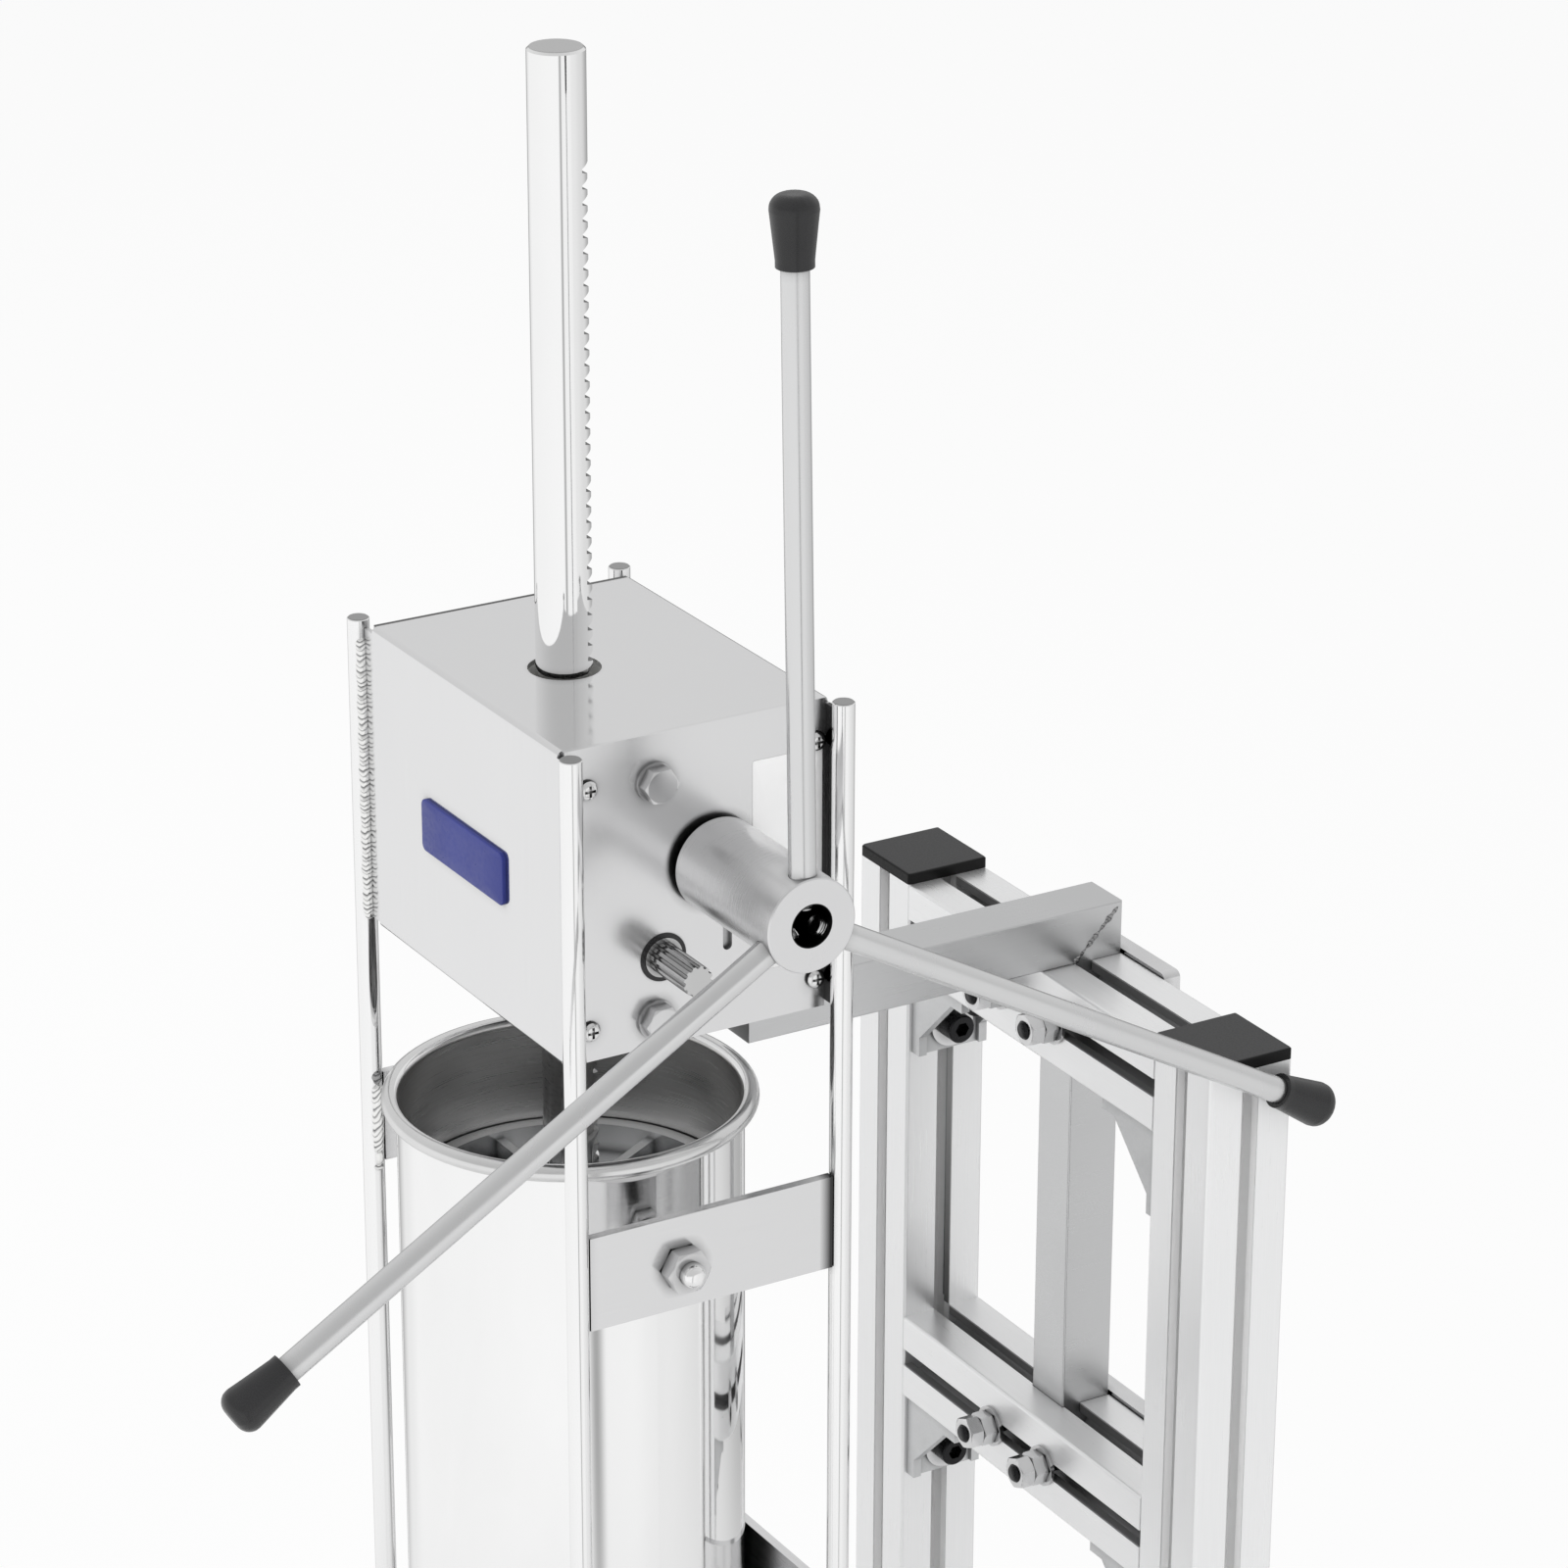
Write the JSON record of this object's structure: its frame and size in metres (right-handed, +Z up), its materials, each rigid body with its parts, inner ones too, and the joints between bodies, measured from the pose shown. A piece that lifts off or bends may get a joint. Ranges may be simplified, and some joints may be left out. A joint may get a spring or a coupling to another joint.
{
  "type": "churro maker",
  "caption": "Hand-cranked rack press for churro dough: tall steel cylinder under a gearbox with a spoked handle, held by an arm on a slotted-profile stand.",
  "frame": {"origin": "on the floor, under the middle of the machine's overall width and depth", "axes": "+Z up, +X towards the handle side, -Y towards the front, where the cylinder hangs"},
  "size_m": [0.2893, 0.54, 1.0756],
  "materials": {
    "profile_aluminium": "satin anodised, drawn grain along its length",
    "box_steel": "satin rolled sheet",
    "polished_steel": "polished",
    "cylinder_steel": "polished outside, turned grain inside",
    "arm_steel": "satin",
    "gear_steel": "machined and oiled",
    "bush_steel": "turned",
    "zinc": "bright zinc plate",
    "black_steel": "black oxide",
    "black_plastic": "fine grained",
    "cast_bracket": "blasted die casting",
    "rubber": "moulded",
    "nozzle_plastic": "food-grade plastic",
    "guide_plastic": "machined plastic",
    "piston_casting": "cast and turned",
    "seal_rubber": "white silicone"
  },
  "bodies": {
    "frame": {"left_post": "profile_aluminium", "right_post": "profile_aluminium", "left_foot": "profile_aluminium", "right_foot": "profile_aluminium", "upper_crossbar": "profile_aluminium", "lower_crossbar": "profile_aluminium", "base_crossbar": "profile_aluminium", "profile_caps": "black_plastic", "rubber_feet": "rubber", "corner_brackets": "cast_bracket", "bracket_washers": "zinc", "bracket_screws": "black_steel", "slot_nuts": "zinc", "arm": "arm_steel", "mounting_block": "arm_steel", "block_bolts": "black_steel", "back_plates": "zinc", "clamp_studs": "black_steel", "clamp_washers": "zinc", "clamp_nuts": "zinc", "gearbox_shell": "box_steel", "left_side_plate": "box_steel", "side_cover": "box_steel", "cover_screws": "zinc", "upper_rack_guide": "guide_plastic", "lower_rack_guide": "guide_plastic", "guide_washers": "zinc", "guide_bolts": "zinc", "bearing_plate": "arm_steel", "drive_bushes": "bush_steel", "lower_bushes": "bush_steel", "shaft_rings": "black_plastic", "front_left_rod": "polished_steel", "rear_left_rod": "polished_steel", "front_right_rod": "polished_steel", "rear_right_rod": "polished_steel", "left_strap": "box_steel", "right_strap": "box_steel", "rear_strap": "box_steel", "pivot_screws": "polished_steel", "pivot_nuts": "zinc", "seat_plate": "box_steel", "cylinder": "cylinder_steel", "nozzle": "nozzle_plastic", "nozzle_nut": "nozzle_plastic"},
    "drive": {"drive_shaft": "gear_steel", "large_wheel": "gear_steel", "wheel_key": "gear_steel", "drive_clips": "black_steel"},
    "lower": {"lower_shaft": "gear_steel", "lower_clips": "black_steel"},
    "handle": {"hub": "polished_steel", "upper_spoke": "polished_steel", "front_spoke": "polished_steel", "rear_spoke": "polished_steel", "knobs": "black_plastic"},
    "ram": {"rack": "polished_steel", "piston": "piston_casting", "piston_seal": "seal_rubber", "piston_nut": "zinc"}
  },
  "joints": [
    {"name": "handle_turn", "type": "hinge", "parent": "frame", "child": "drive", "pos_m": [-0.00875, 0.0075, 0.7716], "axis": [1, 0, 0], "range_deg": [-294.66, 990.4]},
    {"name": "handle_pull", "type": "slide", "parent": "drive", "child": "handle", "axis": [1, 0, 0], "range_m": [0, 0.035]},
    {"name": "rack_slide", "type": "slide", "parent": "frame", "child": "ram", "axis": [0, 0, 1], "range_m": [-0.2425, 0.0725]},
    {"name": "lower_turn", "type": "hinge", "parent": "frame", "child": "lower", "pos_m": [-0.00875, -0.01516, 0.73624], "axis": [1, 0, 0], "range_deg": [-1981.8, 590.33]}
  ],
  "couplings": [
    {"joint": "rack_slide", "follows": "handle_turn", "m_per_rad": -0.014},
    {"joint": "lower_turn", "follows": "handle_turn", "ratio": -2}
  ]
}
